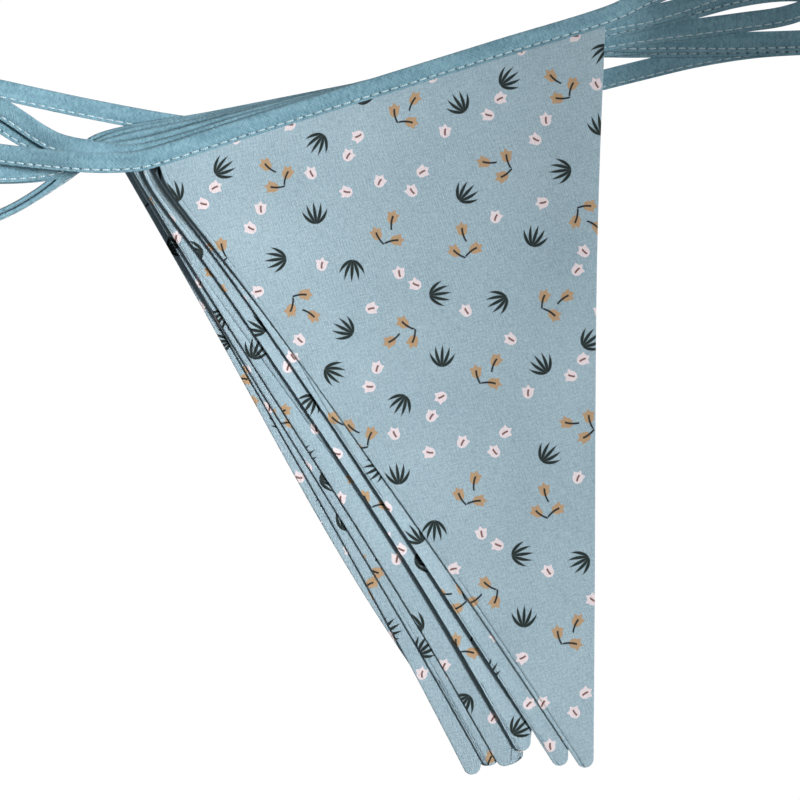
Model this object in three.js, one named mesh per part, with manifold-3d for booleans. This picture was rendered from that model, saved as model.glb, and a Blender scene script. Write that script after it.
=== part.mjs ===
// A fabric bunting laid flag on flag: seven double cotton flags, their top edges closed in one
// length of folded binding tape that runs to and fro between them, and a free tie at each end.
// Millimetres, +Z up, resting on z = 0. The origin is under the middle of the lowest flag.
import * as THREE from 'three';
import Module from 'manifold-3d';

// Driving dimensions of the flags
const FLAG_WIDTH = 150;
const FLAG_THICK = 1;
const TIP_RADIUS = 2.8;

// How far below the hem the laid cloth's left corner flares most
const FLARE_RUN = 12;

// Driving dimensions of the tape: folded flat between the flags, and closed over each flag's top edge
const TAPE_WIDTH = 6.5;
const TAPE_THICK = 2;
const TAPE_LEAF = 0.63;
const TUCK = 5;
const SLOT_CLEARANCE = 0.37;
const TAPE_PAST_FLAG = 4;
const THINNING = 10;

// How the pieces lie on each other: the air between layers, and how far a step under a piece
// goes on lifting it beyond the edge of what makes the step
const LAYER_AIR = 0.5;
const FLAG_REACH = 40;
const TAPE_REACH = 70;
const STRAND_REACH = 28;
const OWN_TAPE_REACH = 25;

// The turn at the end of a loop of tape, and the lift of its upper strand there
const TURN_STEPS = 6;
const TURN_LIFT = 3;
const TURN_LIFT_RUN = 18;

// Fineness of the solids
const FLAG_ROWS = 20;
const FLAG_COLUMNS = 10;
const ROW_CROWDING = 1.35;
const TIP_ROWS = 3;
const TIP_LAST_ANGLE = 75;
const TAPE_STEP = 8;
const HEM_POINTS = [-1, -0.5, 0, 0.5, 1];

// Worked-out thicknesses and pitches
const SLOT = FLAG_THICK + 2 * SLOT_CLEARANCE;
const TAPE_AT_FLAG = SLOT + 2 * TAPE_LEAF;
const FLAG_PITCH = FLAG_THICK + LAYER_AIR;
const TAPE_PITCH = TAPE_AT_FLAG + LAYER_AIR;
const STRAND_PITCH = TAPE_THICK + LAYER_AIR;
const HALF_TAPE = TAPE_WIDTH / 2;
const FLAG_END = FLAG_WIDTH / 2 + TAPE_PAST_FLAG;

// The flags from the lowest up: the middle of the hem line, how far the flag is turned
// in degrees, its drop from the hem to the tip, how far the tip leans to the right, how far the
// sides bow outwards, how far the cloth sways from side to side, and how far its left corner
// flares
const FLAGS = [
  { name: 'flag_1', x: -19.1, y: 94.8, turn: 11.2, drop: 218, lean: 5.2, bow: 3.6, sway: 1.4, flare: 0 },
  { name: 'flag_2', x: -15.9, y: 94.6, turn: 11.3, drop: 219, lean: -3.4, bow: -1, sway: -0.6, flare: 0 },
  { name: 'flag_3', x: -16.6, y: 94.7, turn: 12.5, drop: 217.5, lean: -1, bow: -0.5, sway: -0.7, flare: 0 },
  { name: 'flag_4', x: -14.6, y: 93.4, turn: 13.3, drop: 217, lean: -1.1, bow: -1, sway: -0.7, flare: 0 },
  { name: 'flag_5', x: -10.8, y: 96.4, turn: 14.2, drop: 215.5, lean: -2.2, bow: -1.9, sway: -1, flare: 2.6 },
  { name: 'flag_6', x: -7.9, y: 96.9, turn: 15.4, drop: 223, lean: 0.9, bow: -1.3, sway: 0, flare: 1.6 },
  { name: 'flag_7', x: -5.6, y: 97.7, turn: 17.3, drop: 226, lean: -1.2, bow: -1.2, sway: -0.4, flare: 2.2 },
];

// The loops of tape between two layers, from the stack outwards: the loop's middle line, the
// spread between its two strands, and how far the tape is rolled on to its edge in degrees.
// Layer 0 is the long tie that passes under the whole stack.
const LOOPS = [
  {
    upper: 7, lower: 6, side: 'right', lift: TURN_LIFT,
    rows: [
      { x: 80, y: 126.7, spread: 5.8, roll: 0 },
      { x: 95, y: 132, spread: 7.6, roll: 0 },
      { x: 112, y: 139.4, spread: 7.4, roll: 0 },
      { x: 133, y: 149.4, spread: 0, roll: 0 },
    ],
  },
  {
    upper: 6, lower: 5, side: 'left', lift: TURN_LIFT,
    rows: [
      { x: -101, y: 80.3, spread: 0.6, roll: 0 },
      { x: -110, y: 81.8, spread: 1.6, roll: 0 },
      { x: -117, y: 84.5, spread: 3.2, roll: 0 },
      { x: -123.6, y: 88.5, spread: 3.9, roll: 0 },
      { x: -129.4, y: 92, spread: 3.9, roll: 0 },
      { x: -137, y: 94.4, spread: 2.2, roll: 0 },
      { x: -147, y: 95.2, spread: 0.6, roll: 0 },
      { x: -158, y: 95.4, spread: 0, roll: 0 },
    ],
  },
  {
    upper: 5, lower: 4, side: 'right', lift: TURN_LIFT,
    rows: [
      { x: 82, y: 120.6, spread: 4.8, roll: 0 },
      { x: 95.6, y: 123, spread: 6.4, roll: 0 },
      { x: 109.5, y: 125.7, spread: 8, roll: 0 },
      { x: 124, y: 127.8, spread: 7.6, roll: 0 },
      { x: 142, y: 130.7, spread: 0, roll: 0 },
    ],
  },
  {
    upper: 4, lower: 3, side: 'left', lift: TURN_LIFT,
    rows: [
      { x: -105.3, y: 76.3, spread: 0.6, roll: 0 },
      { x: -114.3, y: 74.1, spread: 0.6, roll: 0 },
      { x: -122.4, y: 73.3, spread: 0.4, roll: 0 },
      { x: -141.7, y: 73.1, spread: 0, roll: 0 },
      { x: -156, y: 73.4, spread: 0, roll: 0 },
    ],
  },
  {
    upper: 3, lower: 2, side: 'right', lift: TURN_LIFT,
    rows: [
      { x: 77.3, y: 115, spread: 0.6, roll: 0 },
      { x: 89, y: 115.3, spread: 0.4, roll: 0 },
      { x: 109.5, y: 115.4, spread: 0, roll: 0 },
      { x: 149, y: 116.6, spread: 0, roll: 0 },
    ],
  },
  {
    upper: 2, lower: 1, side: 'left', lift: 0,
    rows: [
      { x: -103.7, y: 77, spread: 0, roll: 0 },
      { x: -108.8, y: 72.4, spread: 0, roll: 0 },
      { x: -114.3, y: 68.2, spread: 0, roll: 0 },
      { x: -119.8, y: 64.6, spread: -0.4, roll: 30 },
      { x: -124.3, y: 62, spread: -0.6, roll: 60 },
      { x: -130, y: 59.4, spread: -0.8, roll: 82 },
      { x: -139, y: 56, spread: -1.5, roll: 85 },
      { x: -150.7, y: 52.2, spread: -3, roll: 85 },
    ],
  },
  {
    upper: 1, lower: 0, side: 'right', lift: 0,
    rows: [
      { x: 77.3, y: 110, spread: 7.4, roll: 0 },
      { x: 95, y: 112.2, spread: 3.5, roll: 0 },
      { x: 112.7, y: 113.8, spread: 1, roll: 0 },
      { x: 128.8, y: 114.5, spread: 0, roll: 0 },
      { x: 140, y: 114.6, spread: 0, roll: 0 },
    ],
  },
];

// The top flag's free tie, from the stack outwards
const TOP_TIE = [
  { x: -87, y: 76.6 },
  { x: -96.6, y: 76.3 },
  { x: -109.5, y: 77.1 },
  { x: -128.8, y: 79.3 },
  { x: -141.7, y: 81.5 },
  { x: -154.6, y: 83.7 },
];

// The other tie, from its turn on the right, under the stack and out on the left
const UNDER_TIE = [
  { x: 51.5, y: 99.8 },
  { x: 25.8, y: 94 },
  { x: 0, y: 89.8 },
  { x: -25.8, y: 87.3 },
  { x: -48.3, y: 86.9 },
  { x: -67.6, y: 88.2 },
  { x: -96.6, y: 93.2 },
  { x: -128.8, y: 100.1 },
  { x: -156, y: 106.3 },
];

const CLOTH = new THREE.MeshStandardMaterial({ color: 0x93a9b0, roughness: 0.95, metalness: 0 });
const BINDING = new THREE.MeshStandardMaterial({ color: 0x6f95a0, roughness: 0.95, metalness: 0 });
const UP = new THREE.Vector3(0, 0, 1);
const CORNERS = [[1, 1], [-1, 1], [-1, -1], [1, -1]];

function fade(distance, reach) {
  return 1 - THREE.MathUtils.smoothstep(distance, 0, reach);
}

// A flag's own directions: along its hem to the right, and from the hem down to the tip
function directions(flag) {
  const turn = THREE.MathUtils.degToRad(flag.turn);
  return {
    along: new THREE.Vector2(Math.cos(turn), Math.sin(turn)),
    down: new THREE.Vector2(Math.sin(turn), -Math.cos(turn)),
  };
}

function onFlag(flag, u, v) {
  const { along, down } = directions(flag);
  return new THREE.Vector2(flag.x, flag.y).addScaledVector(along, u).addScaledVector(down, v);
}

// The cut sides run straight from the hem's corners and touch the round of the tip
function taper(flag) {
  const centre = flag.drop - TIP_RADIUS;
  const reach = Math.hypot(FLAG_WIDTH / 2, centre);
  const angle = Math.atan2(FLAG_WIDTH / 2, centre) - Math.asin(TIP_RADIUS / reach);
  return { centre, angle, touch: centre + TIP_RADIUS * Math.sin(angle) };
}

// How far the left corner stands out at a distance from the hem
function flared(flag, v) {
  const near = Math.max(0, v / FLARE_RUN);
  return flag.flare * near * Math.exp(1 - near);
}

function halfWidth(flag, v) {
  const { centre, angle, touch } = taper(flag);
  if (v > touch) return Math.sqrt(Math.max(0, TIP_RADIUS ** 2 - (v - centre) ** 2));
  const share = Math.max(0, v / touch);
  const laid = 4 * flag.bow * share * (1 - share) + flared(flag, v) / 2;
  return FLAG_WIDTH / 2 - v * Math.tan(angle) + laid;
}

// How far the laid cloth has moved sideways at a distance from the hem
function sideways(flag, v) {
  const share = THREE.MathUtils.clamp(v / flag.drop, 0, 1);
  return flag.lean * share + flag.sway * Math.sin(2 * Math.PI * share) - flared(flag, v) / 2;
}

function toSegment(point, start, end) {
  const run = end.clone().sub(start);
  const along = THREE.MathUtils.clamp(point.clone().sub(start).dot(run) / run.lengthSq(), 0, 1);
  return point.distanceTo(start.clone().addScaledVector(run, along));
}

// How far a point lies outside a flag's cut outline, and 0 inside it
function outsideFlag(flag, point) {
  const { touch } = taper(flag);
  const corners = [
    onFlag(flag, -halfWidth(flag, -TUCK), -TUCK),
    onFlag(flag, halfWidth(flag, -TUCK), -TUCK),
    onFlag(flag, flag.lean + halfWidth(flag, touch), flag.drop),
    onFlag(flag, flag.lean - halfWidth(flag, touch), flag.drop),
  ];
  const edges = corners.map((corner, i) => [corner, corners[(i + 1) % corners.length]]);
  const inside = edges.every(([a, b]) => b.clone().sub(a).cross(point.clone().sub(a)) <= 0);
  return inside ? 0 : Math.min(...edges.map(([a, b]) => toSegment(point, a, b)));
}

function outsideHemTape(flag, point) {
  const start = onFlag(flag, -FLAG_END, -HALF_TAPE);
  const end = onFlag(flag, FLAG_END, -HALF_TAPE);
  return Math.max(0, toSegment(point, start, end) - HALF_TAPE);
}

// Unit vectors across a route, each towards the tape's folded edge, which lies on the +Y side
function across(points) {
  return points.map((point, i) => {
    const before = points[Math.max(i - 1, 0)];
    const after = points[Math.min(i + 1, points.length - 1)];
    const side = new THREE.Vector2(before.y - after.y, after.x - before.x).normalize();
    return side.y < 0 ? side.negate() : side;
  });
}

// One strand of a loop: the upper one lies to the folded side of the middle line, the lower one
// to the other side, and rolled on their edges they stand beside each other
function strand(loop, sign) {
  const sides = across(loop.rows);
  return loop.rows.map((row, i) => {
    const roll = THREE.MathUtils.degToRad(row.roll);
    const shift = sign * (row.spread - STRAND_PITCH * Math.sin(roll)) / 2;
    return new THREE.Vector3(row.x + sides[i].x * shift, row.y + sides[i].y * shift, roll);
  });
}

function loopStrand(layer, side) {
  const loop = LOOPS.find((l) => l.side === side && (l.upper === layer || l.lower === layer));
  return loop ? strand(loop, loop.upper === layer ? 1 : -1) : null;
}

// The tape's route through one layer from left to right: x, y and the roll
function course(layer) {
  const flat = (row) => new THREE.Vector3(row.x, row.y, 0);
  const right = loopStrand(layer, 'right');
  let points = [...UNDER_TIE.map(flat).reverse(), ...right];
  if (layer > 0) {
    const flag = FLAGS[layer - 1];
    const left = loopStrand(layer, 'left') ?? TOP_TIE.map(flat);
    const hem = HEM_POINTS.map((share) => flat(onFlag(flag, share * FLAG_END, -HALF_TAPE)));
    points = [...left.reverse(), ...hem, ...right];
  }
  const curve = new THREE.CatmullRomCurve3(points, false, 'centripetal');
  const spans = points.length - 1;
  const route = [];
  for (let span = 0; span < spans; span += 1) {
    const steps = Math.ceil(points[span].distanceTo(points[span + 1]) / TAPE_STEP);
    for (let step = 0; step < steps; step += 1) route.push(curve.getPoint((span + step / steps) / spans));
  }
  return [...route, points.at(-1)];
}

const COURSES = [0, ...FLAGS.keys().map((i) => i + 1)].map(course);

function outsideCourse(layer, point) {
  const points = COURSES[layer].map((p) => new THREE.Vector2(p.x, p.y));
  const gaps = points.slice(1).map((end, i) => toSegment(point, points[i], end));
  return Math.max(0, Math.min(...gaps) - HALF_TAPE);
}

// How much one layer lifts whatever lies on it at a point
function lift(layer, point, bandShare) {
  const strandLift = STRAND_PITCH * fade(outsideCourse(layer, point), STRAND_REACH);
  if (layer === 0) return strandLift;
  const cloth = FLAG_PITCH * fade(outsideFlag(FLAGS[layer - 1], point), FLAG_REACH);
  return Math.max(cloth + (TAPE_PITCH - FLAG_PITCH) * bandShare, strandLift);
}

// The height of the pile under a layer
function pile(layer, point) {
  const band = Math.min(...FLAGS.map((flag) => outsideHemTape(flag, point)));
  const bandShare = fade(band, TAPE_REACH);
  let height = 0;
  for (let below = 0; below < layer; below += 1) height += lift(below, point, bandShare);
  return height;
}

// The middle of a flag's thickness: its own tape holds it clear of what it lies on
function flagHeight(layer, point) {
  const flag = FLAGS[layer - 1];
  const held = (TAPE_AT_FLAG - FLAG_THICK) / 2 * fade(outsideHemTape(flag, point), OWN_TAPE_REACH);
  return FLAG_THICK / 2 + pile(layer, point) + held;
}

function meshGeometry(points, triangles) {
  const geometry = new THREE.BufferGeometry();
  const values = points.flatMap((p) => [p.x, p.y, p.z]);
  geometry.setAttribute('position', new THREE.Float32BufferAttribute(values, 3));
  geometry.setIndex(triangles);
  geometry.computeVertexNormals();
  return geometry;
}

function quad(a, b, c, d) {
  return [a, b, c, a, c, d];
}

// A closed sheet over rows of a flag, each row a distance from the hem: its upper face, its under
// face and the wall round its rim
function sheetSolid(layer, rows, thick, margin) {
  const flag = FLAGS[layer - 1];
  const points = [];
  for (const face of [1, -1]) {
    for (const v of rows) {
      const half = halfWidth(flag, v) + margin;
      for (let column = 0; column <= FLAG_COLUMNS; column += 1) {
        const at = onFlag(flag, sideways(flag, v) + half * (2 * column / FLAG_COLUMNS - 1), v);
        points.push(new THREE.Vector3(at.x, at.y, flagHeight(layer, at) + face * thick / 2));
      }
    }
  }
  const wide = FLAG_COLUMNS + 1;
  const under = rows.length * wide;
  const triangles = [];
  for (let row = 0; row + 1 < rows.length; row += 1) {
    for (let column = 0; column < FLAG_COLUMNS; column += 1) {
      const a = row * wide + column;
      triangles.push(...quad(a, a + wide, a + wide + 1, a + 1));
      triangles.push(...quad(under + a, under + a + 1, under + a + wide + 1, under + a + wide));
    }
  }
  const rim = [];
  for (let column = 0; column < FLAG_COLUMNS; column += 1) rim.push(column);
  for (let row = 0; row + 1 < rows.length; row += 1) rim.push(row * wide + FLAG_COLUMNS);
  for (let column = FLAG_COLUMNS; column > 0; column -= 1) rim.push((rows.length - 1) * wide + column);
  for (let row = rows.length - 1; row > 0; row -= 1) rim.push(row * wide);
  rim.forEach((a, i) => {
    const b = rim[(i + 1) % rim.length];
    triangles.push(...quad(a, b, under + b, under + a));
  });
  return meshGeometry(points, triangles);
}

// Rows crowd towards the hem, where the cloth bends down from the tape, and close round the tip
function flagRows(flag) {
  const { centre, angle, touch } = taper(flag);
  const rows = [];
  for (let row = 0; row <= FLAG_ROWS; row += 1) {
    rows.push((touch + TUCK) * (row / FLAG_ROWS) ** ROW_CROWDING - TUCK);
  }
  const last = THREE.MathUtils.degToRad(TIP_LAST_ANGLE);
  for (let row = 1; row <= TIP_ROWS; row += 1) {
    rows.push(centre + TIP_RADIUS * Math.sin(THREE.MathUtils.lerp(angle, last, row / TIP_ROWS)));
  }
  return rows;
}

// Half the tape's thickness: full over a flag's top edge, easing off beyond the flag's corners
function halfThick(layer, point) {
  if (layer === 0) return TAPE_THICK / 2;
  const flag = FLAGS[layer - 1];
  const along = Math.abs(point.clone().sub(new THREE.Vector2(flag.x, flag.y)).dot(directions(flag).along));
  return THREE.MathUtils.lerp(TAPE_THICK / 2, TAPE_AT_FLAG / 2, fade(along - FLAG_END, THINNING));
}

// The tape's cross-sections through one layer: each a middle, the direction across the tape
// towards its folded edge, and half its thickness. Rolled on its edge, the tape stands beside
// the strand below it instead of on it.
function sections(layer) {
  const points = COURSES[layer].map((p) => new THREE.Vector2(p.x, p.y));
  const sides = across(points);
  const ends = { left: points[0], right: points.at(-1) };
  const loop = LOOPS.find((l) => l.upper === layer);
  return points.map((point, i) => {
    const open = pile(layer, point.clone().addScaledVector(sides[i], -HALF_TAPE));
    const folded = pile(layer, point.clone().addScaledVector(sides[i], HALF_TAPE));
    const half = halfThick(layer, point);
    const roll = COURSES[layer][i].z;
    const turnLift = loop ? loop.lift * fade(point.distanceTo(ends[loop.side]), TURN_LIFT_RUN) : 0;
    const low = Math.max((open + folded) / 2, pile(layer, point)) * Math.cos(roll) + turnLift;
    const level = new THREE.Vector3(sides[i].x, sides[i].y, (folded - open) / TAPE_WIDTH).normalize();
    const height = low + half * Math.cos(roll) + HALF_TAPE * Math.sin(roll);
    return {
      middle: new THREE.Vector3(point.x, point.y, height),
      across: level.multiplyScalar(Math.cos(roll)).addScaledVector(UP, Math.sin(roll)).normalize(),
      half,
    };
  });
}

// The turn from the end of one strand into the start of the next: half a circle
function turn(from, to, outward) {
  const centre = from.middle.clone().add(to.middle).multiplyScalar(0.5);
  const arm = from.middle.clone().sub(to.middle).multiplyScalar(0.5);
  const steps = [...Array(TURN_STEPS - 1).keys()].map((i) => Math.PI * (i + 1) / TURN_STEPS);
  return steps.map((angle) => ({
    middle: centre.clone().addScaledVector(arm, Math.cos(angle))
      .addScaledVector(outward, arm.length() * Math.sin(angle)),
    across: from.across.clone().lerp(to.across, angle / Math.PI).normalize(),
    half: from.half,
  }));
}

// All cross-sections from the top flag's free tie to the end of the tie under the stack
function tapeSections() {
  const all = [];
  for (let layer = FLAGS.length; layer >= 0; layer -= 1) {
    const strip = sections(layer);
    if ((FLAGS.length - layer) % 2 === 1) strip.reverse();
    if (all.length > 0) {
      const end = all.at(-1);
      const outward = end.middle.clone().sub(all.at(-2).middle).setZ(0).normalize();
      all.push(...turn(end, strip[0], outward));
    }
    all.push(...strip);
  }
  return all;
}

// A closed bar with the same corners to each cross-section. Both ways along the tape its faces are
// split on the same diagonal, so two twisted strands fit each other.
function barSolid(list) {
  const points = [];
  list.forEach(({ middle, across: width, half }, i) => {
    const before = list[Math.max(i - 1, 0)].middle;
    const after = list[Math.min(i + 1, list.length - 1)].middle;
    const normal = after.clone().sub(before).cross(width).normalize();
    for (const [side, face] of CORNERS) {
      const corner = middle.clone().addScaledVector(width, side * HALF_TAPE);
      points.push(corner.addScaledVector(normal, face * half));
    }
  });
  const wide = CORNERS.length;
  const triangles = [];
  for (let i = 0; i + 1 < list.length; i += 1) {
    const leftward = list[i + 1].middle.x < list[i].middle.x;
    for (let corner = 0; corner < wide; corner += 1) {
      const a = wide * i + corner;
      const b = wide * i + (corner + 1) % wide;
      triangles.push(...(leftward ? quad(b, b + wide, a + wide, a) : quad(a, b, b + wide, a + wide)));
    }
  }
  const last = points.length - wide;
  triangles.push(...quad(3, 2, 1, 0), ...quad(last, last + 1, last + 2, last + 3));
  return meshGeometry(points, triangles);
}

const wasm = await Module();
wasm.setup();

function toManifold(geometry) {
  return new wasm.Manifold(new wasm.Mesh({
    numProp: 3,
    vertProperties: new Float32Array(geometry.attributes.position.array),
    triVerts: new Uint32Array(geometry.index.array),
  }));
}

function fromManifold(solid) {
  const mesh = solid.getMesh();
  const geometry = new THREE.BufferGeometry();
  geometry.setAttribute('position', new THREE.BufferAttribute(new Float32Array(mesh.vertProperties), 3));
  geometry.setIndex([...mesh.triVerts]);
  geometry.computeVertexNormals();
  return geometry;
}

// The slot in the tape for one flag's top edge, open at the hem line
function slotSolid(layer) {
  const [, ...nearHem] = flagRows(FLAGS[layer - 1]).slice(0, 3);
  return sheetSolid(layer, [-TUCK - SLOT_CLEARANCE, ...nearHem], SLOT, SLOT_CLEARANCE);
}

function tapeGeometry() {
  let solid = toManifold(barSolid(tapeSections()));
  FLAGS.forEach((flag, i) => {
    solid = solid.subtract(toManifold(slotSolid(i + 1)));
  });
  return fromManifold(solid);
}

const bunting = new THREE.Group();

FLAGS.forEach((flag, i) => {
  const mesh = new THREE.Mesh(sheetSolid(i + 1, flagRows(flag), FLAG_THICK, 0), CLOTH);
  mesh.name = flag.name;
  bunting.add(mesh);
});

const tape = new THREE.Mesh(tapeGeometry(), BINDING);
tape.name = 'tape';
bunting.add(tape);

export default bunting;
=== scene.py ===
# Fabric bunting laid flag on flag: printed cotton flags closed at the top in one folded binding tape
import math

import bpy
import numpy as np
from mathutils import Matrix, Vector


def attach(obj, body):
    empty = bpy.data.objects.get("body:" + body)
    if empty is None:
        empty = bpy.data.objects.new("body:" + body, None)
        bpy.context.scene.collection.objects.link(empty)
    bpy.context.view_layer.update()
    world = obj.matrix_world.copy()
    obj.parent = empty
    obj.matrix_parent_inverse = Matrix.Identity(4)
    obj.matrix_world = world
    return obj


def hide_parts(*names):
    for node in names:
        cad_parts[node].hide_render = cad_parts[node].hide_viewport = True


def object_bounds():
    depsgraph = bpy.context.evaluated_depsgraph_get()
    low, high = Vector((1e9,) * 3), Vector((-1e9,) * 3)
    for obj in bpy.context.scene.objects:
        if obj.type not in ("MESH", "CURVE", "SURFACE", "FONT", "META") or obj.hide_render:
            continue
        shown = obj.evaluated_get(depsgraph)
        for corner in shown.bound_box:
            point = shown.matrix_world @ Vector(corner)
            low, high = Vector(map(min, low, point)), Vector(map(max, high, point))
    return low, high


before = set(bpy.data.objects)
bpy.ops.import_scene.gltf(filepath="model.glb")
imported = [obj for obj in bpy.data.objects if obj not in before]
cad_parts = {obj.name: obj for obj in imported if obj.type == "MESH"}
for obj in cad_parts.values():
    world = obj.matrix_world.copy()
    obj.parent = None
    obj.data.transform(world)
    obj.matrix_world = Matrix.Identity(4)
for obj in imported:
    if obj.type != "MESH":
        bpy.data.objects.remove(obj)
cad_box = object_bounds()
scene = bpy.context.scene
bpy.ops.object.select_all(action="DESELECT")

# Camera, floor and light
# The bunting lies on a white light table and is seen from straight above. A high camera with a long
# lens keeps the upper layers from spreading. A high light on the right is aimed past the left loops and
# fades towards the right, where a strip of net that the camera does not see shades the loops.
VIEW_WIDTH = 0.2576
CAMERA_HEIGHT = 6.0
SENSOR_WIDTH = 36.0
FLOOR_SIDE = 12.0
FLOOR_DROP = 0.0002
PAPER_GLOW = 1.02
LIGHT_PLACE = Vector((0.69, 0.04, 1.85))
LIGHT_AIM = Vector((-0.35, -0.1, 0))
LIGHT_SIDE = 0.65
LIGHT_SPREAD = math.radians(22)
LIGHT_WATTS = 3.75
SKY_STRENGTH = 0.16
NET_PLACE = Vector((0.166, 0.12, 0.15))
NET_WIDTH = 0.055
NET_LENGTH = 0.4
NET_PASS = 0.58

lens = bpy.data.cameras.new("camera")
lens.sensor_width = SENSOR_WIDTH
lens.lens = SENSOR_WIDTH * CAMERA_HEIGHT / VIEW_WIDTH
camera = bpy.data.objects.new("camera", lens)
camera.location = (0, 0, CAMERA_HEIGHT + cad_box[1].z / 2)
scene.collection.objects.link(camera)
scene.camera = camera
scene.view_settings.view_transform = "Standard"

bpy.ops.mesh.primitive_plane_add(size=FLOOR_SIDE, location=(0, 0, -FLOOR_DROP))
floor = bpy.context.object
floor.name = "floor"
paper = bpy.data.materials.new("white_paper")
paper.use_nodes = True
paper_shader = paper.node_tree.nodes["Principled BSDF"]
paper_shader.inputs["Base Color"].default_value = (0, 0, 0, 1)
paper_shader.inputs["Roughness"].default_value = 1
paper_shader.inputs["Specular IOR Level"].default_value = 0
paper_shader.inputs["Emission Color"].default_value = (1, 1, 1, 1)
paper_shader.inputs["Emission Strength"].default_value = PAPER_GLOW
floor.data.materials.append(paper)

bpy.ops.object.light_add(type="AREA", location=LIGHT_PLACE)
window = bpy.context.object
window.name = "window"
window.data.size = LIGHT_SIDE
window.data.spread = LIGHT_SPREAD
window.data.energy = LIGHT_WATTS
window.rotation_mode = "QUATERNION"
window.rotation_quaternion = (LIGHT_AIM - LIGHT_PLACE).to_track_quat("-Z", "Y")

bpy.ops.mesh.primitive_plane_add(size=1, location=NET_PLACE)
net = bpy.context.object
net.name = "net"
net.data.transform(Matrix.Diagonal((NET_WIDTH, NET_LENGTH, 1, 1)))
net.visible_camera = False
gauze = bpy.data.materials.new("black_gauze")
gauze.use_nodes = True
gauze_shader = gauze.node_tree.nodes["Principled BSDF"]
gauze_shader.inputs["Base Color"].default_value = (0, 0, 0, 1)
gauze_shader.inputs["Specular IOR Level"].default_value = 0
gauze_shader.inputs["Alpha"].default_value = 1 - NET_PASS
net.data.materials.append(gauze)

sky = bpy.data.worlds.new("sky")
sky.use_nodes = True
sky.node_tree.nodes["Background"].inputs["Color"].default_value = (1, 1, 1, 1)
sky.node_tree.nodes["Background"].inputs["Strength"].default_value = SKY_STRENGTH
scene.world = sky

# The pile, in millimetres
# The bunting is folded to and fro so that its flags lie on each other, and the tape loops out at
# both sides. Each layer lifts whatever lies on it, less and less beyond its own edge.
MM = 0.001
FLAG_WIDTH = 150
FLAG_THICK = 1
TIP_RADIUS = 2.8
FLARE_RUN = 12
TUCK = 5
TAPE_WIDTH = 6.5
TAPE_THICK = 2
TAPE_AT_FLAG = 3
TAPE_PAST_FLAG = 4
THINNING = 10
LAYER_AIR = 0.5
FLAG_REACH = 40
TAPE_REACH = 70
STRAND_REACH = 28
OWN_TAPE_REACH = 25
ROUTE_STEP = 8
EDGE_PITCH = 1.75
HEM_POINTS = np.array([-1, -0.5, 0, 0.5, 1])
FLAG_PITCH = FLAG_THICK + LAYER_AIR
TAPE_PITCH = TAPE_AT_FLAG + LAYER_AIR
STRAND_PITCH = TAPE_THICK + LAYER_AIR
HALF_TAPE = TAPE_WIDTH / 2
FLAG_END = FLAG_WIDTH / 2 + TAPE_PAST_FLAG

# From the lowest flag up: the middle of its hem line, its turn in degrees, its drop from hem to tip, how
# far the tip leans to the right, how far the sides bow outwards, how far the cloth sways, and how far
# its left corner flares below the hem
FLAGS = [
    dict(x=-19.1, y=94.8, turn=11.2, drop=218, lean=5.2, bow=3.6, sway=1.4, flare=0),
    dict(x=-15.9, y=94.6, turn=11.3, drop=219, lean=-3.4, bow=-1, sway=-0.6, flare=0),
    dict(x=-16.6, y=94.7, turn=12.5, drop=217.5, lean=-1, bow=-0.5, sway=-0.7, flare=0),
    dict(x=-14.6, y=93.4, turn=13.3, drop=217, lean=-1.1, bow=-1, sway=-0.7, flare=0),
    dict(x=-10.8, y=96.4, turn=14.2, drop=215.5, lean=-2.2, bow=-1.9, sway=-1, flare=2.6),
    dict(x=-7.9, y=96.9, turn=15.4, drop=223, lean=0.9, bow=-1.3, sway=0, flare=1.6),
    dict(x=-5.6, y=97.7, turn=17.3, drop=226, lean=-1.2, bow=-1.2, sway=-0.4, flare=2.2),
]

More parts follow.
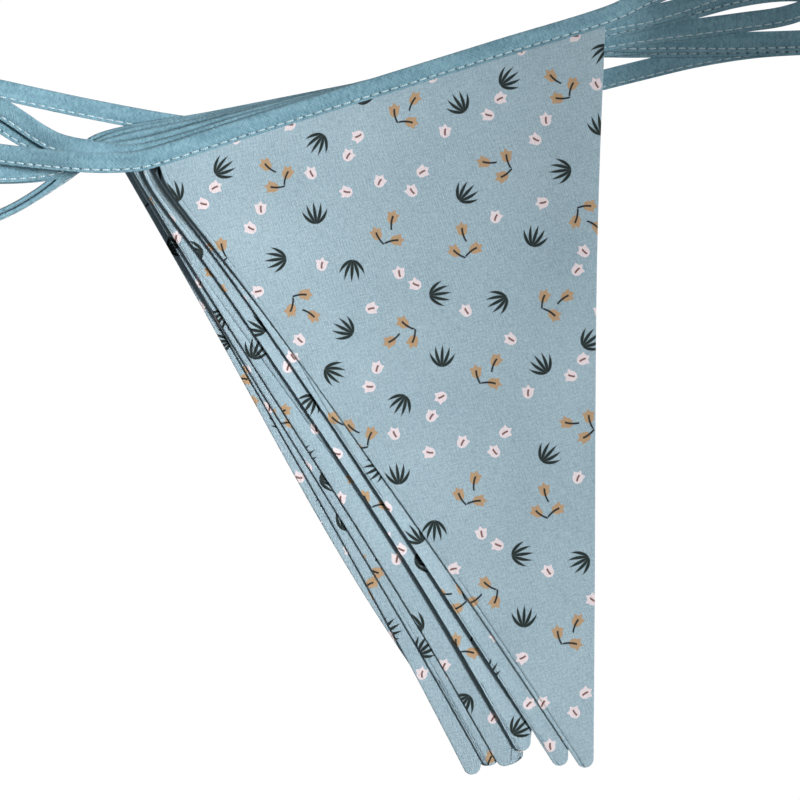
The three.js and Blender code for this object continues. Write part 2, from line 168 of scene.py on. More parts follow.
# Loops of tape between two layers: how far the upper strand rises at the turn, and from the stack
# outwards the loop's middle line, the spread of its two strands, and how far the tape is rolled on to
# its edge in degrees
LOOPS = [
    dict(upper=7, lower=6, side="right", lift=3, rows=[
        dict(x=80, y=126.7, spread=5.8, roll=0),
        dict(x=95, y=132, spread=7.6, roll=0),
        dict(x=112, y=139.4, spread=7.4, roll=0),
        dict(x=133, y=149.4, spread=0, roll=0),
    ]),
    dict(upper=6, lower=5, side="left", lift=3, rows=[
        dict(x=-101, y=80.3, spread=0.6, roll=0),
        dict(x=-110, y=81.8, spread=1.6, roll=0),
        dict(x=-117, y=84.5, spread=3.2, roll=0),
        dict(x=-123.6, y=88.5, spread=3.9, roll=0),
        dict(x=-129.4, y=92, spread=3.9, roll=0),
        dict(x=-137, y=94.4, spread=2.2, roll=0),
        dict(x=-147, y=95.2, spread=0.6, roll=0),
        dict(x=-158, y=95.4, spread=0, roll=0),
    ]),
    dict(upper=5, lower=4, side="right", lift=3, rows=[
        dict(x=82, y=120.6, spread=4.8, roll=0),
        dict(x=95.6, y=123, spread=6.4, roll=0),
        dict(x=109.5, y=125.7, spread=8, roll=0),
        dict(x=124, y=127.8, spread=7.6, roll=0),
        dict(x=142, y=130.7, spread=0, roll=0),
    ]),
    dict(upper=4, lower=3, side="left", lift=3, rows=[
        dict(x=-105.3, y=76.3, spread=0.6, roll=0),
        dict(x=-114.3, y=74.1, spread=0.6, roll=0),
        dict(x=-122.4, y=73.3, spread=0.4, roll=0),
        dict(x=-141.7, y=73.1, spread=0, roll=0),
        dict(x=-156, y=73.4, spread=0, roll=0),
    ]),
    dict(upper=3, lower=2, side="right", lift=3, rows=[
        dict(x=77.3, y=115, spread=0.6, roll=0),
        dict(x=89, y=115.3, spread=0.4, roll=0),
        dict(x=109.5, y=115.4, spread=0, roll=0),
        dict(x=149, y=116.6, spread=0, roll=0),
    ]),
    dict(upper=2, lower=1, side="left", lift=0, rows=[
        dict(x=-103.7, y=77, spread=0, roll=45),
        dict(x=-108.8, y=72.4, spread=0, roll=72),
        dict(x=-114.3, y=68.2, spread=0, roll=84),
        dict(x=-119.8, y=64.6, spread=0, roll=87),
        dict(x=-124.3, y=62, spread=0, roll=87),
        dict(x=-130, y=59.4, spread=0, roll=87),
        dict(x=-139, y=56, spread=-1, roll=87),
        dict(x=-150.7, y=52.2, spread=-3, roll=87),
    ]),
    dict(upper=1, lower=0, side="right", lift=0, rows=[
        dict(x=77.3, y=110, spread=7.4, roll=0),
        dict(x=95, y=112.2, spread=3.5, roll=0),
        dict(x=112.7, y=113.8, spread=1, roll=0),
        dict(x=128.8, y=114.5, spread=0, roll=0),
        dict(x=140, y=114.6, spread=0, roll=0),
    ]),
]

# The top flag's free tie, from the stack outwards
TOP_TIE = [
    dict(x=-87, y=76.6),
    dict(x=-96.6, y=76.3),
    dict(x=-109.5, y=77.1),
    dict(x=-128.8, y=79.3),
    dict(x=-141.7, y=81.5),
    dict(x=-154.6, y=83.7),
]

# The other tie, from its turn on the right, under the stack and out on the left
UNDER_TIE = [
    dict(x=51.5, y=99.8),
    dict(x=25.8, y=94),
    dict(x=0, y=89.8),
    dict(x=-25.8, y=87.3),
    dict(x=-48.3, y=86.9),
    dict(x=-67.6, y=88.2),
    dict(x=-96.6, y=93.2),
    dict(x=-128.8, y=100.1),
    dict(x=-156, y=106.3),
]


def eased(distance, reach):
    """1 at no distance, falling softly to 0 at the reach."""
    share = np.clip(distance / reach, 0, 1)
    return 1 - share * share * (3 - 2 * share)


def unit(vectors):
    return vectors / np.linalg.norm(vectors, axis=-1, keepdims=True)


def flag_axes(flag):
    """A flag's own directions: along its hem to the right, and from the hem down to the tip."""
    turn = math.radians(flag["turn"])
    along = np.array([math.cos(turn), math.sin(turn)])
    down = np.array([math.sin(turn), -math.cos(turn)])
    return along, down


def on_flag(flag, u, v):
    along, down = flag_axes(flag)
    return np.array([flag["x"], flag["y"]]) + np.multiply.outer(u, along) + np.multiply.outer(v, down)


def taper(flag):
    """The tip's centre, the angle of the sides, and where they touch the round of the tip."""
    centre = flag["drop"] - TIP_RADIUS
    reach = math.hypot(FLAG_WIDTH / 2, centre)
    angle = math.atan2(FLAG_WIDTH / 2, centre) - math.asin(TIP_RADIUS / reach)
    return centre, angle, centre + TIP_RADIUS * math.sin(angle)


def flared(flag, v):
    """How far the left corner stands out at a distance from the hem."""
    near = np.maximum(0, v / FLARE_RUN)
    return flag["flare"] * near * np.exp(1 - near)


def half_width(flag, v):
    centre, angle, touch = taper(flag)
    share = np.clip(v / touch, 0, 1)
    laid = 4 * flag["bow"] * share * (1 - share) + flared(flag, v) / 2
    sides = FLAG_WIDTH / 2 - v * math.tan(angle) + laid
    tip = np.sqrt(np.maximum(0, TIP_RADIUS ** 2 - (v - centre) ** 2))
    return np.where(v <= touch, sides, tip)


def sideways(flag, v):
    """How far the laid cloth has moved sideways at a distance from the hem."""
    share = np.clip(v / flag["drop"], 0, 1)
    return flag["lean"] * share + flag["sway"] * np.sin(2 * math.pi * share) - flared(flag, v) / 2


def to_segment(points, start, end):
    run = end - start
    share = np.clip((points - start) @ run / (run @ run), 0, 1)
    return np.linalg.norm(points - start - np.multiply.outer(share, run), axis=-1)


def outside_flag(flag, points):
    """How far points lie outside a flag's straight outline, and 0 inside it."""
    touch = taper(flag)[2]
    top = float(half_width(flag, -TUCK))
    tip = float(half_width(flag, touch))
    lean = flag["lean"]
    corners = [on_flag(flag, *place) for place in
               [(-top, -TUCK), (top, -TUCK), (lean + tip, flag["drop"]), (lean - tip, flag["drop"])]]
    inside = np.ones(points.shape[:-1], bool)
    gaps = []
    for start, end in zip(corners, corners[1:] + corners[:1]):
        run = end - start
        offset = points - start
        inside &= run[0] * offset[..., 1] - run[1] * offset[..., 0] <= 0
        gaps.append(to_segment(points, start, end))
    return np.where(inside, 0, np.min(gaps, axis=0))


def outside_hem_tape(flag, points):
    start = on_flag(flag, -FLAG_END, -HALF_TAPE)
    end = on_flag(flag, FLAG_END, -HALF_TAPE)
    return np.maximum(0, to_segment(points, start, end) - HALF_TAPE)


def across_route(points):
    """Unit vectors across a route, each towards the tape's folded edge, on the +Y side."""
    places = np.asarray(points)[:, :2]
    before = np.vstack([places[:1], places[:-1]])
    after = np.vstack([places[1:], places[-1:]])
    side = unit(np.column_stack([before[:, 1] - after[:, 1], after[:, 0] - before[:, 0]]))
    return np.where(side[:, 1:] < 0, -side, side)


def loop_strand(layer, side):
    """A loop's strand in one layer, from the stack outwards: x, y and the roll."""
    for loop in LOOPS:
        if loop["side"] == side and layer in (loop["upper"], loop["lower"]):
            sign = 1 if loop["upper"] == layer else -1
            roll = np.radians([row["roll"] for row in loop["rows"]])
            spread = np.array([row["spread"] for row in loop["rows"]])
            middle = np.array([(row["x"], row["y"]) for row in loop["rows"]])
            shift = sign * (spread - EDGE_PITCH * np.sin(roll)) / 2
            return np.column_stack([middle + across_route(middle) * shift[:, None], roll])
    return None


def smooth_route(points, step):
    """A centripetal Catmull-Rom curve through the points, in steps of about one length."""
    first = 2 * points[0] - points[1]
    last = 2 * points[-1] - points[-2]
    knots = np.vstack([first, points, last])
    route = []
    for a, b, c, d in zip(knots, knots[1:], knots[2:], knots[3:]):
        before, here, after = (math.sqrt(np.linalg.norm(q - p)) for p, q in [(a, b), (b, c), (c, d)])
        leave = ((b - a) / before - (c - a) / (before + here) + (c - b) / here) * here
        reach = ((c - b) / here - (d - b) / (here + after) + (d - c) / after) * here
        count = math.ceil(np.linalg.norm(c - b) / step)
        for share in np.arange(count) / count:
            square = share * share
            cube = square * share
            route.append((2 * cube - 3 * square + 1) * b + (cube - 2 * square + share) * leave
                         + (3 * square - 2 * cube) * c + (cube - square) * reach)
    return np.array([*route, points[-1]])


def flat_rows(rows):
    return np.array([(row["x"], row["y"], 0.0) for row in rows])


def course(layer, step):
    """The tape's route through one layer from left to right: x, y and the roll."""
    right = loop_strand(layer, "right")
    if layer == 0:
        return smooth_route(np.vstack([flat_rows(UNDER_TIE)[::-1], right]), step)
    left = loop_strand(layer, "left")
    if left is None:
        left = flat_rows(TOP_TIE)
    hem = on_flag(FLAGS[layer - 1], HEM_POINTS * FLAG_END, np.full(len(HEM_POINTS), -HALF_TAPE))
    hem = np.column_stack([hem, np.zeros(len(hem))])
    parts = [left[::-1], hem] if right is None else [left[::-1], hem, right]
    return smooth_route(np.vstack(parts), step)


LAYERS = len(FLAGS) + 1
COURSES = [course(layer, ROUTE_STEP)[:, :2] for layer in range(LAYERS)]


def layer_lift(layer, points, band_share):
    """How much one layer lifts whatever lies on it."""
    route = COURSES[layer]
    gaps = np.min([to_segment(points, a, b) for a, b in zip(route, route[1:])], axis=0)
    strand = STRAND_PITCH * eased(np.maximum(0, gaps - HALF_TAPE), STRAND_REACH)
    if layer == 0:
        return strand
    cloth = FLAG_PITCH * eased(outside_flag(FLAGS[layer - 1], points), FLAG_REACH)
    return np.maximum(cloth + (TAPE_PITCH - FLAG_PITCH) * band_share, strand)


def pile(layer, points):
    """The height of the pile under a layer."""
    band = np.min([outside_hem_tape(flag, points) for flag in FLAGS], axis=0)
    band_share = eased(band, TAPE_REACH)
    height = np.zeros(points.shape[:-1])
    for below in range(layer):
        height += layer_lift(below, points, band_share)
    return height


# The printed cotton
# A plain-woven cotton with slubs in both thread directions, dyed a dusty blue and printed with a
# small scattered repeat: leaf fans, sprigs of three leaves, and pale blossoms with one dark stroke.
GROUND_DARK = (0.208, 0.302, 0.355, 1)
GROUND_PALE = (0.356, 0.466, 0.523, 1)
FAN_INK = (0.014, 0.022, 0.021, 1)
LEAF_INK = (0.390, 0.262, 0.152, 1)
STEM_INK = (0.014, 0.018, 0.020, 1)
BLOSSOM_INK = (0.660, 0.585, 0.605, 1)
STROKE_INK = (0.160, 0.075, 0.060, 1)
PRINT_WIDE = 96
PRINT_TALL = 88
TURN_SCALE = 0.0001
INK_EDGE = 0.14
NOISE_MEAN = 0.5
MIDDLE_TONE = 0.5
FAN_FOOT = 2.9
FAN_SPREAD = 1.34
FAN_CLOSING = 0.08
FAN_LEAST = 0.5
BLADE_STEP = 0.43
BLADES_ASIDE = 2
BLADE_LENGTH = 7.2
BLADE_SHORTER = 0.27
BLADE_WIDTH = 1.85
BLADE_FOOT = 0.8
PETAL_TURNS = 3.2
PETAL_START = 0.8
BLOSSOM = dict(radius=1.85, petal=0.8, slimness=1.08)
BLOSSOM_STROKE = dict(half=0.3, low=-0.8, high=0.8, bend=0.1)
LEAF = dict(radius=1.9, petal=0.9, slimness=1.18)
LEAF_STEM = dict(half=0.31, low=-3.5, high=0.4, bend=0.06)
CLOTH_GLOSS = 0.18
CLOTH_SHEEN = 0.08
SHEEN_ROUGHNESS = 0.5
COTTON_ROUGHNESS = 0.92
COTTON_RELIEF = 0.00016
WEFT_STRETCH = (0.3, 2.3)
WARP_STRETCH = (2.3, 0.3)
GRAIN_STRETCH = (1.5, 1.5)
CLOUD_STRETCH = (0.03, 0.03)
SLUB_TONE = 0.45
GRAIN_TONE = 0.7
CLOUD_TONE = 0.3
THREAD_PITCH = 0.46
WEAVE_RISE = 0.4
GRAIN_RISE = 0.5

# The chart of the repeat: the middle of each motif, and how far it is turned in degrees
FAN_CHART = [
    dict(x=27, y=10, turn=20), dict(x=44, y=13, turn=-70), dict(x=76, y=12, turn=130),
    dict(x=93, y=22, turn=-20), dict(x=20, y=34, turn=100), dict(x=58, y=28, turn=-130),
    dict(x=66, y=40, turn=45), dict(x=2, y=42, turn=-100), dict(x=37, y=50, turn=-35),
    dict(x=74, y=58, turn=160), dict(x=20, y=70, turn=-60), dict(x=52, y=68, turn=80),
    dict(x=68, y=78, turn=-10),
]
SPRIG_CHART = [
    dict(x=10, y=13, turn=0), dict(x=60, y=6, turn=75), dict(x=37, y=28, turn=-30),
    dict(x=83, y=33, turn=150), dict(x=15, y=55, turn=40), dict(x=55, y=51, turn=-100),
    dict(x=89, y=66, turn=15), dict(x=33, y=76, turn=110),
]
BLOSSOM_CHART = [
    dict(x=20, y=3, turn=-20), dict(x=35, y=4, turn=60), dict(x=40, y=8, turn=-80),
    dict(x=71, y=3, turn=10), dict(x=84, y=5, turn=-50), dict(x=89, y=10, turn=100),
    dict(x=20, y=21, turn=40), dict(x=50, y=21, turn=-10), dict(x=68, y=20, turn=70),
    dict(x=72, y=25, turn=-35), dict(x=9, y=34, turn=15), dict(x=47, y=36, turn=-60),
    dict(x=51, y=41, turn=30), dict(x=76, y=44, turn=-95), dict(x=92, y=47, turn=50),
    dict(x=88, y=52, turn=-5), dict(x=27, y=60, turn=-40), dict(x=43, y=60, turn=85),
    dict(x=65, y=62, turn=-25), dict(x=4, y=76, turn=20), dict(x=9, y=81, turn=-75),
    dict(x=47, y=80, turn=45), dict(x=52, y=85, turn=-15), dict(x=80, y=82, turn=65),
    dict(x=91, y=82, turn=-45),
]
SPRIG_LEAVES = [
    dict(x=-3.9, y=1.2, turn=-10), dict(x=3.2, y=3.0, turn=-50), dict(x=0.4, y=-3.7, turn=-120),
]

# The sockets of a mix node for vectors and for colours: the two values and the result
MIX_VECTOR = (4, 5, 1)
MIX_COLOUR = (6, 7, 2)


class Tone:
    """A value or vector at every point of a cloth; arithmetic on it adds nodes to the material."""

    def __init__(self, tree, socket=None):
        self.tree = tree
        self.socket = socket

    def node(self, kind, settings, inputs, output=0):
        made = self.tree.nodes.new(kind)
        for name, value in settings.items():
            setattr(made, name, value)
        for key, value in inputs.items():
            if isinstance(value, Tone):
                self.tree.links.new(value.socket, made.inputs[key])
            else:
                made.inputs[key].default_value = value
        return Tone(self.tree, made.outputs[output])

    def math(self, operation, *values):
        return self.node("ShaderNodeMath", {"operation": operation}, dict(enumerate(values)))

    def vector(self, operation, *values, output=0):
        return self.node("ShaderNodeVectorMath", {"operation": operation}, dict(enumerate(values)), output)

    def __add__(self, other):
        return self.math("ADD", self, other)

    def __radd__(self, other):
        return self.math("ADD", other, self)

    def __sub__(self, other):
        return self.math("SUBTRACT", self, other)

    def __rsub__(self, other):
        return self.math("SUBTRACT", other, self)

    def __mul__(self, other):
        return self.math("MULTIPLY", self, other)

    def __rmul__(self, other):
        return self.math("MULTIPLY", other, self)

    def __truediv__(self, other):
        return self.math("DIVIDE", self, other)

    def __abs__(self):
        return self.math("ABSOLUTE", self)

    def part(self, index):
        return self.node("ShaderNodeSeparateXYZ", {}, {0: self}, index)

    def turned(self, angle):
        inputs = {"Vector": self, "Angle": angle}
        return self.node("ShaderNodeVectorRotate", {"rotation_type": "Z_AXIS"}, inputs)

    def above(self, low, high):
        """A soft step from 0 at low to 1 at high."""
        inputs = {0: self, 1: low, 2: high}
        return self.node("ShaderNodeMapRange", {"interpolation_type": "SMOOTHSTEP"}, inputs)

    def inked(self):
        return self.above(-INK_EDGE, INK_EDGE)

    def mixed(self, kind, sockets, under, over):
        first, second, result = sockets
        inputs = {0: self, first: under, second: over}
        return self.node("ShaderNodeMix", {"data_type": kind}, inputs, result)

    def colour(self, under, over):
        return self.mixed("RGBA", MIX_COLOUR, under, over)

    def noise(self, stretch, detail=1):
        """Noise stretched along the threads, from about -0.5 to 0.5."""
        place = self.vector("MULTIPLY", self, (*stretch, 1))
        inputs = {"Vector": place, "Scale": 1, "Detail": detail}
        return self.node("ShaderNodeTexNoise", {"noise_dimensions": "2D"}, inputs) - NOISE_MEAN


def nearest_motif(place, chart):
    """Where a point lies in the nearest motif of a chart, turned with the motif."""
    half = (PRINT_WIDE / 2, PRINT_TALL / 2, 1)
    found = None
    reach = None
    for row in chart:
        turn = math.radians(row["turn"]) * TURN_SCALE
        offset = place.vector("SUBTRACT", place, (row["x"], row["y"], -turn))
        offset = place.vector("WRAP", offset, half, tuple(-side for side in half))
        far = place.vector("LENGTH", offset, output=1)
        if found is None:
            found = offset
            reach = far
            continue
        nearer = place.math("LESS_THAN", far, reach)
        found = nearer.mixed("VECTOR", MIX_VECTOR, found, offset)
        reach = place.math("MINIMUM", reach, far)
    return found.turned(found.part(2) * (-1 / TURN_SCALE))


def fan_mask(place):
    """Five slim blades that spring wide from one foot and close up towards their tips."""
    foot = place.vector("ADD", place, (0, FAN_FOOT, 0))
    side = foot.part(0)
    rise = foot.part(1)
    reach = place.math("SQRT", side * side + rise * rise)
    spread = place.math("MAXIMUM", FAN_SPREAD - FAN_CLOSING * reach, FAN_LEAST)
    angle = place.math("ARCTAN2", side, rise) / spread
    number = place.math("ROUND", angle / BLADE_STEP)
    number = place.math("MINIMUM", place.math("MAXIMUM", number, -BLADES_ASIDE), BLADES_ASIDE)
    off = abs(angle - number * BLADE_STEP) * spread * reach
    share = reach / (BLADE_LENGTH - BLADE_SHORTER * number * number)
    return (BLADE_WIDTH * place.math("POWER", share, BLADE_FOOT) * (1 - share) - off).inked()


def petalled(place, radius, petal, slimness):
    """A round form with three pointed petals at its top, and how far a point lies inside it."""
    side = place.part(0) * slimness
    rise = place.part(1)
    angle = place.math("ARCTAN2", side, rise)
    tips = (1 - abs(place.math("SINE", angle * PETAL_TURNS))) * rise.above(0, PETAL_START)
    return radius + petal * tips - place.math("SQRT", side * side + rise * rise)


def stroke(place, half, low, high, bend):
    """A short pen stroke along the motif's own upward direction."""
    rise = place.part(1)
    side = abs(place.part(0) - bend * rise * rise)
    ends = abs(rise - (low + high) / 2) - (high - low) / 2
    return (half - place.math("MAXIMUM", side, ends)).inked()


def cotton_print(place, ground):
    """The ground with its three layers of ink."""
    blossom = nearest_motif(place, BLOSSOM_CHART)
    ground = petalled(blossom, **BLOSSOM).inked().colour(ground, BLOSSOM_INK)
    ground = stroke(blossom, **BLOSSOM_STROKE).colour(ground, STROKE_INK)
    sprig = nearest_motif(place, SPRIG_CHART)
    for row in SPRIG_LEAVES:
        leaf = place.vector("SUBTRACT", sprig, (row["x"], row["y"], 0)).turned(-math.radians(row["turn"]))
        ground = petalled(leaf, **LEAF).inked().colour(ground, LEAF_INK)
        ground = stroke(leaf, **LEAF_STEM).colour(ground, STEM_INK)
    return fan_mask(nearest_motif(place, FAN_CHART)).colour(ground, FAN_INK)


def fabric(name, roughness):
    """A material, its matt shader, and a point's place on the cloth in millimetres."""
    made = bpy.data.materials.new(name)
    made.use_nodes = True
    shader = made.node_tree.nodes["Principled BSDF"]
    shader.inputs["Roughness"].default_value = roughness
    shader.inputs["Specular IOR Level"].default_value = CLOTH_GLOSS
    shader.inputs["Sheen Weight"].default_value = CLOTH_SHEEN
    shader.inputs["Sheen Roughness"].default_value = SHEEN_ROUGHNESS
    start = Tone(made.node_tree)
    place = start.node("ShaderNodeUVMap", {"uv_map": "cloth"}, {})
    place = place.vector("MULTIPLY", place, (1 / MM, 1 / MM, 0))
    return made, shader, place


def dress(shader, colour, height, depth):
    """Links a cloth's colour and its relief to the shader."""
    tree = colour.tree
    tree.links.new(colour.socket, shader.inputs["Base Color"])
    bump = height.node("ShaderNodeBump", {}, {"Strength": 1.0, "Distance": depth, "Height": height})
    tree.links.new(bump.socket, shader.inputs["Normal"])


def printed_cotton():
    made, shader, place = fabric("printed_cotton", COTTON_ROUGHNESS)
    weft = place.noise(WEFT_STRETCH)
    warp = place.noise(WARP_STRETCH)
    grain = place.noise(GRAIN_STRETCH, detail=2)
    cloud = place.noise(CLOUD_STRETCH, detail=2)
    tone = MIDDLE_TONE + SLUB_TONE * weft + SLUB_TONE * warp + GRAIN_TONE * grain + CLOUD_TONE * cloud
    ground = tone.above(0, 1).colour(GROUND_DARK, GROUND_PALE)
    inks = cotton_print(place, ground)
    thread = 2 * math.pi / THREAD_PITCH
    weave = place.math("SINE", place.part(0) * thread) * place.math("SINE", place.part(1) * thread)
    dress(shader, inks, weft + warp + WEAVE_RISE * weave + GRAIN_RISE * grain, COTTON_RELIEF)
    return made


# The flags
# Each flag is two cotton triangles sewn face to face and turned right side out, so its sides are
# rolled seams, with the seam allowances as a low ridge inside. Here and there the back rolls forward.
CLOTH_HALF = 0.36
SEAM_HALF = 0.07
SEAM_WIDTH = 5.5
SEAM_FADE = 1.6
SIDE_ROUND = 0.5
SIDE_LEAST = 0.15
HIDDEN_TUCK = 2.6
ROW_STEP = 2.0
TIP_STEPS = 9
TIP_LAST_ANGLE = math.radians(82)
SIDE_COLUMNS = np.array([0, 0.07, 0.2, 0.4, 0.7])
ROLL_COLUMNS = np.array([-0.4, -0.18, 0, 0.18, 0.4, 1.0])
INNER_COLUMNS = 44
SIDE_FULL = 3.0
ROLL_SWAY = 0.1
ROLL_SWAY_RUN = 17
ROLL_HALF = 0.2
ROLL_STEP = 0.7
ROLL_FADE = 12
DROOP = 0.3
DROOP_REACH = 12
PUCKER = 0.16
PUCKER_REACH = 16
PUCKER_RUN = 2.7
SMALL_PUCKER = 0.6
SMALL_PUCKER_RUN = 1.5
CURL_REACH = 5.4

# Where the seam's roll or a fold beside it shows on each flag, from the lowest up: the distance from the
# hem, the inset from the left side, and the depth of its line
ROLLS = [
    [dict(v=0, inset=1.2, depth=0), dict(v=218, inset=1.2, depth=0)],
    [dict(v=40, inset=1.2, depth=0.2), dict(v=90, inset=1.2, depth=0), dict(v=180, inset=1.2, depth=0)],
    [dict(v=150, inset=1.2, depth=0), dict(v=185, inset=1, depth=0.4), dict(v=217, inset=1, depth=0.4)],
    [dict(v=36, inset=1, depth=0.1), dict(v=60, inset=2.6, depth=0.5), dict(v=126, inset=7.2, depth=0.5),
     dict(v=150, inset=8.6, depth=0.2), dict(v=165, inset=8.8, depth=0)],
    [dict(v=20, inset=1.2, depth=0.3), dict(v=70, inset=1.2, depth=0), dict(v=170, inset=1.2, depth=0),
     dict(v=200, inset=1.1, depth=0.4)],
    [dict(v=44, inset=4, depth=0.2), dict(v=60, inset=3.5, depth=0.5), dict(v=98, inset=1, depth=0.5),
     dict(v=112, inset=1, depth=0), dict(v=180, inset=1.1, depth=0.2), dict(v=215, inset=1.1, depth=0.3)],
    [dict(v=30, inset=1.3, depth=0.15), dict(v=80, inset=1.3, depth=0), dict(v=150, inset=1.3, depth=0.1),
     dict(v=168, inset=1.4, depth=0.5), dict(v=220, inset=1.1, depth=0.5)],
]

# Where a flag's left side stands up from the flag under it: the distance from the hem and the height
CURLS = {
    5: [dict(v=34, height=0), dict(v=76, height=1.5), dict(v=190, height=2.4), dict(v=214, height=1)],
    6: [dict(v=34, height=0), dict(v=68, height=1), dict(v=100, height=1.1), dict(v=125, height=1.8),
        dict(v=185, height=2.2), dict(v=215, height=0.5)],
}

# Where the print falls on each flag, from the lowest up
PRINT_SHIFTS = [(11, 47), (63, 5), (34, 70), (85, 30), (20, 14), (52, 61), (3, 20)]

# Soft swellings of the cloth between its supports: the place seen from above, the reach and the height
BILLOWS = [
    dict(x=18, y=44, reach=34, height=1.0),
    dict(x=56, y=70, reach=30, height=0.8),
    dict(x=50, y=8, reach=30, height=0.8),
    dict(x=8, y=-4, reach=26, height=0.6),
    dict(x=46, y=-42, reach=24, height=0.6),
    dict(x=-32, y=70, reach=24, height=0.6),
]

# Pressed creases, as soft ridges and troughs from one end to the other, seen from above
CREASES = [
    dict(start=(12, 85), end=(52, 98), width=1.8, height=0.22),
    dict(start=(24, 48), end=(48, 57), width=2.2, height=-0.2),
    dict(start=(38, -80), end=(61, -73), width=1.4, height=0.2),
    dict(start=(34, -24), end=(60, -13), width=2.0, height=-0.18),
    dict(start=(-34, 62), end=(-6, 71), width=1.8, height=0.16),
    dict(start=(2, 14), end=(30, 4), width=2.4, height=0.16),
]


def flag_relief(layer, flag, points, u, v):
    """What the cloth adds to the height of the pile: swellings, creases, puckers and the left side.

    Here u is measured from the middle of the laid flag.
    """
    height = np.zeros(u.shape)
    for row in BILLOWS:
        gap = np.hypot(points[..., 0] - row["x"], points[..., 1] - row["y"])
        height += row["height"] * eased(gap, row["reach"])
    for row in CREASES:
        gap = to_segment(points, np.array(row["start"]), np.array(row["end"]))
        height += row["height"] * np.exp(-(gap / row["width"]) ** 2)
    height *= layer / len(FLAGS)
    side = half_width(flag, v)
    droop = np.clip(1 - (u + side) / DROOP_REACH, 0, 1) ** 2 * np.clip(v / DROOP_REACH, 0, 1)
    height -= DROOP * droop * np.clip(side / (2 * DROOP_REACH), 0, 1)
    if layer in CURLS:
        rows = CURLS[layer]
        curl = np.interp(v, [row["v"] for row in rows], [row["height"] for row in rows])
        height += curl * np.clip(1 - (u + side) / CURL_REACH, 0, 1) ** 2
    ripple = np.sin(u / PUCKER_RUN) + SMALL_PUCKER * np.sin(u / SMALL_PUCKER_RUN + 1)
    return height + PUCKER * ripple * np.exp(-np.maximum(v, 0) / PUCKER_REACH) * (v > 0)


def roll_line(layer, v, column):
    """One column of a flag's roll at each distance from the hem."""
    rows = ROLLS[layer - 1]
    return np.interp(v, [row["v"] for row in rows], [row[column] for row in rows])


def flag_grid(layer, flag):
    """The rows and columns of a flag: u along the hem, v down from it."""
    centre, angle, touch = taper(flag)
    straight = np.linspace(-HIDDEN_TUCK, touch, round((touch + HIDDEN_TUCK) / ROW_STEP))
    rounded = centre + TIP_RADIUS * np.sin(np.linspace(angle, TIP_LAST_ANGLE, TIP_STEPS))
    v = np.concatenate([straight, rounded[1:]])
    side = half_width(flag, v)
    fit = np.minimum(1, side / SIDE_FULL)[:, None]
    inset = roll_line(layer, v, "inset") + ROLL_SWAY * np.sin(v / ROLL_SWAY_RUN + layer)
    left = np.hstack([np.tile(SIDE_COLUMNS, (len(v), 1)), inset[:, None] + ROLL_COLUMNS]) * fit
    right = np.tile(SIDE_COLUMNS[::-1], (len(v), 1)) * fit
    first = left[:, -1] - side
    last = side - right[:, 0]
    shares = np.linspace(0, 1, INNER_COLUMNS + 2)[1:-1]
    inner = first[:, None] + np.multiply.outer(last - first, shares)
    u = np.hstack([left - side[:, None], inner, side[:, None] - right])
    return u, np.tile(v[:, None], (1, u.shape[1])), side[:, None], inset[:, None] * fit


def closed_sheet(rows, columns):
    """The faces of an upper grid, of a lower grid after it, and of the wall round their rim."""
    index = np.arange(rows * columns).reshape(rows, columns)
    a, b, c, d = (part.ravel() for part in
                  (index[:-1, :-1], index[1:, :-1], index[1:, 1:], index[:-1, 1:]))
    under = rows * columns
    rim = np.concatenate([index[0, :-1], index[:-1, -1], index[-1, :0:-1], index[:0:-1, 0]])
    ahead = np.roll(rim, -1)
    return np.vstack([
        np.column_stack([a, b, c, d]),
        np.column_stack([d, c, b, a]) + under,
        np.column_stack([rim, ahead, ahead + under, rim + under]),
    ])


def cloth_piece(name, points, faces, places, material):
    """A smooth piece in metres, with each point's place on the flat cloth as its map."""
    mesh = bpy.data.meshes.new(name)
    mesh.from_pydata((points * MM).tolist(), [], faces)
    mesh.polygons.foreach_set("use_smooth", np.ones(len(mesh.polygons), bool))
    corners = np.zeros(len(mesh.loops), np.int32)
    mesh.loops.foreach_get("vertex_index", corners)
    cloth = mesh.uv_layers.new(name="cloth")
    cloth.data.foreach_set("uv", (places[corners] * MM).astype(np.float32).ravel())
    mesh.materials.append(material)
    piece = bpy.data.objects.new(name, mesh)
    scene.collection.objects.link(piece)
    return piece


def flag_piece(layer, flag, cotton):
    u, v, side, inset = flag_grid(layer, flag)
    points = on_flag(flag, u + sideways(flag, v), v)
    held = (TAPE_AT_FLAG - FLAG_THICK) / 2 * eased(outside_hem_tape(flag, points), OWN_TAPE_REACH)
    middle = FLAG_THICK / 2 + pile(layer, points) + held + flag_relief(layer, flag, points, u, v)
    edge = np.minimum(u + side, side - u)
    seam = eased(edge - SEAM_WIDTH, SEAM_FADE)
    bulge = np.sqrt(1 - (1 - np.clip(edge / SIDE_ROUND, 0, 1)) ** 2)
    half = (CLOTH_HALF + SEAM_HALF * seam) * np.maximum(bulge, SIDE_LEAST)
    depth = roll_line(layer, v, "depth")
    past = u + side - inset
    middle = middle + np.where(past > 0, ROLL_STEP * depth * np.exp(-np.maximum(past, 0) / ROLL_FADE), 0)
    roll = depth * np.exp(-(past / ROLL_HALF) ** 2)
    upper = np.dstack([points, middle + half - roll]).reshape(-1, 3)
    lower = np.dstack([points, middle - half]).reshape(-1, 3)
    shift = np.array(PRINT_SHIFTS[layer - 1])
    front = np.dstack([u, -v]).reshape(-1, 2) + shift
    back = np.dstack([-u, -v]).reshape(-1, 2) - shift
    faces = closed_sheet(*u.shape).tolist()
    name = f"printed_flag_{layer}"
    piece = cloth_piece(name, np.vstack([upper, lower]), faces, np.vstack([front, back]), cotton)
    node = f"flag_{layer}"
    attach(piece, "root")
    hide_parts(node)


cotton = printed_cotton()
for number, flag in enumerate(FLAGS, start=1):
    flag_piece(number, flag, cotton)

